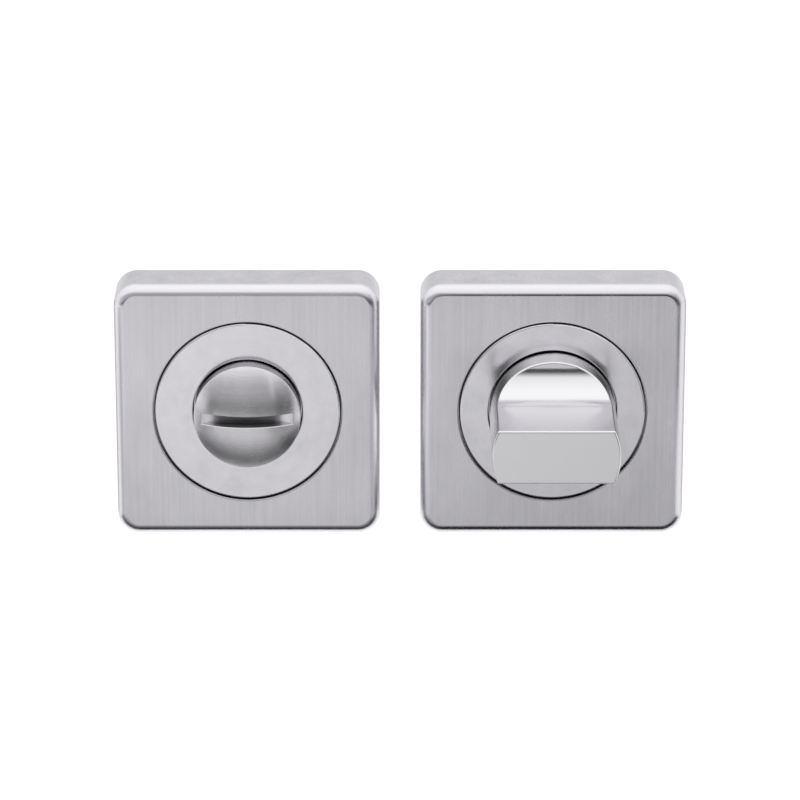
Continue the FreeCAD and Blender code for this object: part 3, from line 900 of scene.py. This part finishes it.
@dataclass(frozen=True)
class ThreadedPosts:
    """The two posts that the fixing bolts screw into, in millimetres inward from the door face."""

    thread: BoltThread = BoltThread()
    head_front: float = -2.5
    head_back: float = -1.0
    far_end: float = 9.0
    half_flats: float = 3.8
    shank: float = 3.0
    chamfer: float = 0.5
    bore: float = 2.0
    mouth: float = 2.3
    sides: int = 72
    sharp_deg: float = 32.0

    def profile(self) -> list[tuple[float, float, Section]]:
        """The rings that bound a post.

        Returns:
            Each ring's reach, level and outline, from the bore's far end round to its mouth there.
        """
        lead = self.mouth - self.bore
        return [
            (self.bore, self.far_end - lead, Section.ROUND),
            (self.bore, self.head_front + lead, Section.ROUND),
            (self.mouth, self.head_front, Section.ROUND),
            (self.half_flats, self.head_front, Section.HEXAGON),
            (self.half_flats, self.head_back, Section.HEXAGON),
            (self.shank, self.head_back, Section.ROUND),
            (self.shank, self.far_end - self.chamfer, Section.ROUND),
            (self.shank - self.chamfer, self.far_end, Section.ROUND),
            (self.mouth, self.far_end, Section.ROUND),
        ]

    def add_post(self, form: bmesh.types.BMesh, middle: float) -> None:
        """Adds one post.

        Args:
            form: the mesh it goes into.
            middle: its place from left to right, in metres.
        """
        rings = [add_ring(form, section, middle, level, reach, self.sides)
                 for reach, level, section in self.profile()]
        for ring, following in zip(rings, rings[1:] + rings[:1]):
            add_band(form, ring, following)

    def build(self) -> None:
        """Builds both posts with their threads in place of the plain ones."""
        material = PLATED_STEEL.ready()
        form = bmesh.new()
        half = self.thread.spacing * MM / 2
        for middle in (self.thread.axis.value - half, self.thread.axis.value + half):
            self.add_post(form, middle)
        bmesh.ops.recalc_face_normals(form, faces=form.faces)
        form.from_mesh(self.thread.build(material))
        for face in form.faces:
            face.material_index = 0
        mesh = as_mesh(form, "threaded_posts")
        smooth(mesh, self.sharp_deg)
        mesh.materials.append(material)
        posts = put("threaded_posts", mesh)
        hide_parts("release_threaded_posts")
        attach(posts, "roses")
        log.info("release_threaded_posts: %d faces with the thread", len(mesh.polygons))


@dataclass(frozen=True)
class CoinButton:
    """The domed button with its sawn coin slot, in millimetres, with levels out from the door."""

    axis: Axis = Axis.RELEASE
    radius: float = 10.5
    rim: float = 13.55
    edge: float = 0.35
    crown: float = BUTTON_CROWN
    underside: float = 9.3
    shank: tuple[tuple[float, float], ...] = (
        (6.5, 0.8), (7.0, 1.3), (7.0, 1.95), (6.5, 1.95), (6.5, 3.05), (7.0, 3.05), (7.0, 9.3))
    socket: float = 2.55
    socket_end: float = 9.8
    slot_width: float = 2.2
    slot_depth: float = SLOT_DEPTH
    slot_bevel: float = 0.15
    saw_radius: float = 75.0
    saw_reach: float = 12.0
    saw_rise: float = 5.0
    bevel_rise: float = 0.5
    cut_steps: int = 40
    sides: int = 192
    edge_steps: int = 10
    dome_steps: int = 28
    sharp_deg: float = 28.0
    dome_play: float = 0.01
    dome_facing: float = 0.998

    @property
    def dome(self) -> float:
        """The dome's radius."""
        rise = self.crown - self.rim
        return (self.radius ** 2 + rise ** 2) / (2.0 * rise)

    @property
    def dome_level(self) -> float:
        """The level of the dome's centre."""
        return self.crown - self.dome

    def head(self) -> list[tuple[float, float]]:
        """The head's half profile.

        Returns:
            Radius and level of each point, from the underside over the rim to just short of the crown.
        """
        hub, reach = self.radius - self.edge, self.dome - self.edge
        lean = math.asin(hub / reach)
        level = self.dome_level + reach * math.cos(lean)
        points = [(self.radius, self.underside)]
        for step in range(self.edge_steps + 1):
            turn = math.pi / 2 + (lean - math.pi / 2) * step / self.edge_steps
            points.append((hub + self.edge * math.sin(turn), level + self.edge * math.cos(turn)))
        for step in range(1, self.dome_steps):
            turn = lean * (1.0 - step / self.dome_steps)
            points.append((self.dome * math.sin(turn), self.dome_level + self.dome * math.cos(turn)))
        return points

    def spot(self, across: float, level: float, upward: float) -> Point:
        """A point of the button in the shared frame."""
        return self.axis.value + across * MM, -level * MM, upward * MM

    def blank(self) -> bpy.types.Mesh:
        """The button before its slot is cut.

        Returns:
            A closed mesh with the square socket in its shank.
        """
        form = bmesh.new()
        outline = [(self.socket, level, Section.SQUARE) for level in (self.socket_end, self.shank[0][1])]
        outline += [(reach, level, Section.ROUND) for reach, level in (*self.shank, *self.head())]
        rings = [add_ring(form, section, self.axis.value, -level, reach, self.sides)
                 for reach, level, section in outline]
        for ring, following in zip(rings, rings[1:]):
            add_band(form, ring, following)
        form.faces.new(rings[0])
        crown = form.verts.new(self.spot(0.0, self.crown, 0.0))
        for step in range(self.sides):
            form.faces.new((rings[-1][step], rings[-1][(step + 1) % self.sides], crown))
        bmesh.ops.recalc_face_normals(form, faces=form.faces)
        return as_mesh(form, "button_blank")

    def cutter(self, name: str, sections: list[tuple[Point, Point, Point, Point]]) -> bpy.types.Object:
        """A tool that is swept through four-cornered sections.

        Args:
            name: the tool's name.
            sections: the corners of each section, in order.

        Returns:
            The tool's object.
        """
        form = bmesh.new()
        rows = [[form.verts.new(self.spot(*corner)) for corner in section] for section in sections]
        for row, following in zip(rows, rows[1:]):
            add_band(form, row, following)
        form.faces.new(rows[0])
        form.faces.new(rows[-1])
        bmesh.ops.recalc_face_normals(form, faces=form.faces)
        return put(name, as_mesh(form, name))

    def saw(self) -> bpy.types.Object:
        """The part of the saw that cuts the slot, which is deepest under the crown.

        Returns:
            The tool's object.
        """
        half, hub = self.slot_width / 2, self.crown - self.slot_depth + self.saw_radius
        top = self.crown + self.saw_rise
        sections = []
        for step in range(-self.cut_steps, self.cut_steps + 1):
            across = self.saw_reach * step / self.cut_steps
            level = hub - math.sqrt(self.saw_radius ** 2 - across ** 2)
            sections.append(((across, level, -half), (across, level, half),
                             (across, top, half), (across, top, -half)))
        return self.cutter("slot_saw", sections)

    def beveller(self) -> bpy.types.Object:
        """The tool that takes the sharpness off the slot's lips, along the dome.

        Returns:
            The tool's object.
        """
        half = self.slot_width / 2
        wide = half + self.slot_bevel + self.bevel_rise
        low, high = self.dome - self.slot_bevel, self.dome + self.bevel_rise
        curve = 1.0 / (2.0 * self.saw_radius) + 1.0 / (2.0 * self.dome)
        end = math.asin(math.sqrt((self.slot_depth - self.slot_bevel) / curve) / self.dome)
        sections = []
        for step in range(-self.cut_steps, self.cut_steps + 1):
            turn = end * step / self.cut_steps
            inner, outer = ((reach * math.sin(turn), self.dome_level + reach * math.cos(turn))
                            for reach in (low, high))
            sections.append(((*inner, -half), (*inner, half), (*outer, wide), (*outer, -wide)))
        return self.cutter("slot_beveller", sections)

    def slotted(self) -> bpy.types.Mesh:
        """Cuts the slot into the blank and bevels its lips.

        Returns:
            A plain mesh.
        """
        holder = put("button_blank", self.blank())
        tools = [self.saw(), self.beveller()]
        for tool in tools:
            cut = holder.modifiers.new(tool.name, "BOOLEAN")
            cut.operation, cut.solver, cut.object = "DIFFERENCE", "EXACT", tool
        mesh = plain_mesh(holder)
        for tool in tools:
            bpy.data.objects.remove(tool)
        return mesh

    def round_off(self, mesh: bpy.types.Mesh) -> None:
        """Shades the button smooth, with the dome's true normals on its facets.

        Args:
            mesh: the button's mesh.
        """
        smooth(mesh, self.sharp_deg)
        centre = Vector(self.spot(0.0, self.dome_level, 0.0))
        normals = [Vector((0.0, 0.0, 0.0)) for _ in mesh.loops]
        for face in mesh.polygons:
            for loop in face.loop_indices:
                ray = mesh.vertices[mesh.loops[loop].vertex_index].co - centre
                off_dome = abs(ray.length - self.dome * MM)
                facing = ray.normalized().dot(face.normal)
                if off_dome < self.dome_play * MM and facing > self.dome_facing:
                    normals[loop] = ray.normalized()
        mesh.normals_split_custom_set(normals)

    def build(self) -> None:
        """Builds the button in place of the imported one, whose rim is higher and rounder."""
        mesh = self.slotted()
        self.round_off(mesh)
        mesh.materials.clear()
        mesh.materials.append(BUTTON_METAL.ready())
        button = put("coin_button", mesh)
        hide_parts("release_button")
        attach(button, "release")
        log.info("release_button: %d faces, dome radius %.1f mm", len(mesh.polygons), self.dome)


@dataclass(frozen=True)
class CoinRelease:
    """The domed button with its coin slot, and the posts that the fixing bolts screw into."""

    button: CoinButton = CoinButton()
    posts: ThreadedPosts = ThreadedPosts()

    def build(self) -> None:
        """Builds the button and the posts."""
        self.button.build()
        self.posts.build()


@dataclass(frozen=True)
class Card:
    """A flat card of the studio, seen by the metal and not by the camera."""

    name: str
    centre: Point
    wide: Point
    tall: Point
    level: float
    slope: Point = (0.0, 0.0, 0.0)
    least: float = 0.0
    most: float = 1.1

    def glow(self, book: NodeBook) -> Any:
        """The light that the card shows, which is even unless its level rises along a slope.

        Args:
            book: the tree of the card's material.

        Returns:
            A grey, or a signal that changes over the card.
        """
        if not any(self.slope):
            return grey(self.level)
        where = book.signal("ShaderNodeTexCoord", None, None, "Object")
        climb = book.signal("ShaderNodeVectorMath", {"operation": "DOT_PRODUCT"},
                            {0: where, 1: self.slope}, "Value")
        level = self.level + (climb - Vector(self.centre).dot(Vector(self.slope)))
        return book.math("MINIMUM", book.math("MAXIMUM", level, self.least), self.most)

    def build(self) -> None:
        """Makes the card and leaves it to reflections alone."""
        middle, wide, tall = Vector(self.centre), Vector(self.wide) / 2, Vector(self.tall) / 2
        card = panel(self.name, [middle - wide - tall, middle + wide - tall,
                                 middle + wide + tall, middle - wide + tall])
        material, book = new_material(self.name)
        book.matt_glow(0.0, self.glow(book))
        card.data.materials.append(material)
        card.visible_camera = card.visible_diffuse = False
        card.visible_shadow = card.visible_transmission = False


@dataclass(frozen=True)
class Lamp:
    """A soft box: a lamp that looks at a point, and that the metal doesn't mirror."""

    name: str
    place: Point
    aim: Point
    wide: float
    tall: float
    radiance: float

    def build(self) -> None:
        """Makes the lamp."""
        light = bpy.data.lights.new(self.name, "AREA")
        light.shape = "RECTANGLE"
        light.size, light.size_y = self.wide, self.tall
        light.energy = math.pi * self.wide * self.tall * self.radiance
        lamp = put(self.name, light)
        lamp.location = self.place
        lamp.rotation_euler = (Vector(self.aim) - Vector(self.place)).to_track_quat("-Z", "Y").to_euler()
        lamp.visible_camera = lamp.visible_glossy = False


@dataclass(frozen=True)
class Studio:
    """The pale floor, the white surroundings, the soft boxes, the cards and the camera."""

    floor_level: float = -0.11
    floor_front: float = -0.45
    floor_back: float = 3.0
    floor_side: float = 3.0
    floor_tone: float = 0.80
    floor_glow: float = 0.55
    ambient: float = 0.55
    zenith: float = 0.22
    camera_rise_deg: float = 19.8
    camera_distance: float = 0.90
    camera_lens: float = 206.0
    camera_sensor: float = 36.0
    camera_near: float = 0.01
    camera_far: float = 20.0
    camera_aim: Point = (-0.0300, -0.0105, 0.00248)
    lamps: tuple[Lamp, ...] = (
        Lamp("soft_box_above", (-0.03, 0.05, 0.55), (-0.03, 0.0, 0.0), wide=1.2, tall=0.9, radiance=0.28),
        Lamp("soft_box_left", (-0.85, -0.05, 0.0), (-0.03, 0.0, 0.0), wide=0.5, tall=0.9, radiance=0.15),
        Lamp("soft_box_right", (0.79, -0.05, 0.0), (-0.03, 0.0, 0.0), wide=0.5, tall=0.9, radiance=0.10))
    cards: tuple[Card, ...] = (
        Card("card_floor", (-0.06, -0.28, -0.105), wide=(0.46, 0, 0), tall=(0, 0.36, 0),
             level=0.80, slope=(-1.5, -1.7, 0), least=0.50),
        Card("card_front", (-0.03, -0.45, 0.03), wide=(1.2, 0, 0), tall=(0, 0, 0.32),
             level=0.23, slope=(0, 0, 6.4), least=0.04, most=1.0),
        Card("card_dome", (-0.0925, -0.066, 0.036), wide=(0.135, 0, 0), tall=(0, 0, 0.048),
             level=0.36, slope=(0, 0, 30), least=0.50, most=1.0),
        Card("card_low", (-0.0775, -0.060, -0.045), wide=(0.105, 0, 0), tall=(0, 0.09, 0),
             level=0.74, slope=(0, -20, 0), least=0.04, most=0.80),
        Card("card_under", (-0.03, -0.0375, -0.06), wide=(0.24, 0, 0), tall=(0, 0.045, 0), level=0.02),
        Card("card_right", (0.20, -0.26, 0.06), wide=(0.10, 0.12, 0), tall=(0, 0, 0.34),
             level=0.22, slope=(0, 0, 3.0), least=0.06),
        Card("card_left", (-0.19, -0.0915, -0.057), wide=(0.04, -0.069, 0), tall=(0, 0, 0.075), level=0.45),
        Card("card_back", (-0.03, 0.60, 0.54), wide=(2.4, 0, 0), tall=(0, 0, 0.94),
             level=0.94, slope=(0, 0, 0.5), least=0.80),
        Card("card_rear_left", (-0.23, 0.16, -0.06), wide=(0.10, 0.12, 0), tall=(0, 0, 0.12), level=0.50),
        Card("card_rear_right", (0.17, 0.16, -0.06), wide=(0.10, -0.12, 0), tall=(0, 0, 0.12), level=0.50))

    def build(self) -> None:
        """Builds the studio."""
        self.build_floor()
        self.build_surroundings()
        for lamp in self.lamps:
            lamp.build()
        for card in self.cards:
            card.build()
        self.build_camera()
        bpy.context.scene.view_settings.view_transform = "Standard"

    @staticmethod
    def seen_directly(book: NodeBook) -> Signal:
        """1 for the camera's rays and for those that metal and glass send on.

        Args:
            book: the tree that the test is added to.

        Returns:
            The test's result.
        """
        path = book.node("ShaderNodeLightPath")
        rays = [Signal(book, path.outputs[name])
                for name in ("Is Camera Ray", "Is Glossy Ray", "Is Transmission Ray")]
        return (rays[0] + rays[1] + rays[2]).clamped()

    def build_floor(self) -> None:
        """Lays the pale floor, which keeps the object's shadow."""
        low, side = self.floor_level, self.floor_side
        floor = panel("floor", [(-side, self.floor_front, low), (side, self.floor_front, low),
                                (side, self.floor_back, low), (-side, self.floor_back, low)])
        material, book = new_material("pale_floor")
        book.matt_glow(self.floor_tone, self.seen_directly(book) * self.floor_glow)
        floor.data.materials.append(material)

    def build_surroundings(self) -> None:
        """Makes the world white where it is seen, brighter overhead, and a soft light elsewhere."""
        world = bpy.data.worlds.new("surroundings")
        bpy.context.scene.world = world
        world.use_nodes = True
        book = NodeBook(world.node_tree)
        upward = book.parts(book.signal("ShaderNodeTexCoord", None, None, "Generated"))[2].clamped()
        seen = 1.0 - self.ambient + upward * upward * self.zenith
        strength = self.ambient + self.seen_directly(book) * seen
        light = book.signal("ShaderNodeBackground", None, {"Color": grey(1.0), "Strength": strength})
        book.node("ShaderNodeOutputWorld", None, {"Surface": light})

    def build_camera(self) -> None:
        """Sets the camera in front of the pair, looking a little down on it."""
        lens = bpy.data.cameras.new("camera")
        lens.lens, lens.sensor_width = self.camera_lens, self.camera_sensor
        lens.clip_start, lens.clip_end = self.camera_near, self.camera_far
        camera = put("camera", lens)
        rise = math.radians(self.camera_rise_deg)
        away = Vector((0.0, -math.cos(rise), math.sin(rise)))
        camera.location = Vector(self.camera_aim) + away * self.camera_distance
        camera.rotation_euler = (-away).to_track_quat("-Z", "Y").to_euler()
        bpy.context.scene.camera = camera


def main() -> None:
    """Builds the studio and dresses the lock, half by half."""
    logging.basicConfig(level=logging.INFO, format="%(name)s %(message)s")
    Studio().build()
    Rose("turn", Axis.TURN, seat=12.7).dress()
    ThumbTurn().dress()
    Rose("release", Axis.RELEASE, seat=10.8).dress()
    CoinRelease().build()


if __name__ == "__main__":
    main()
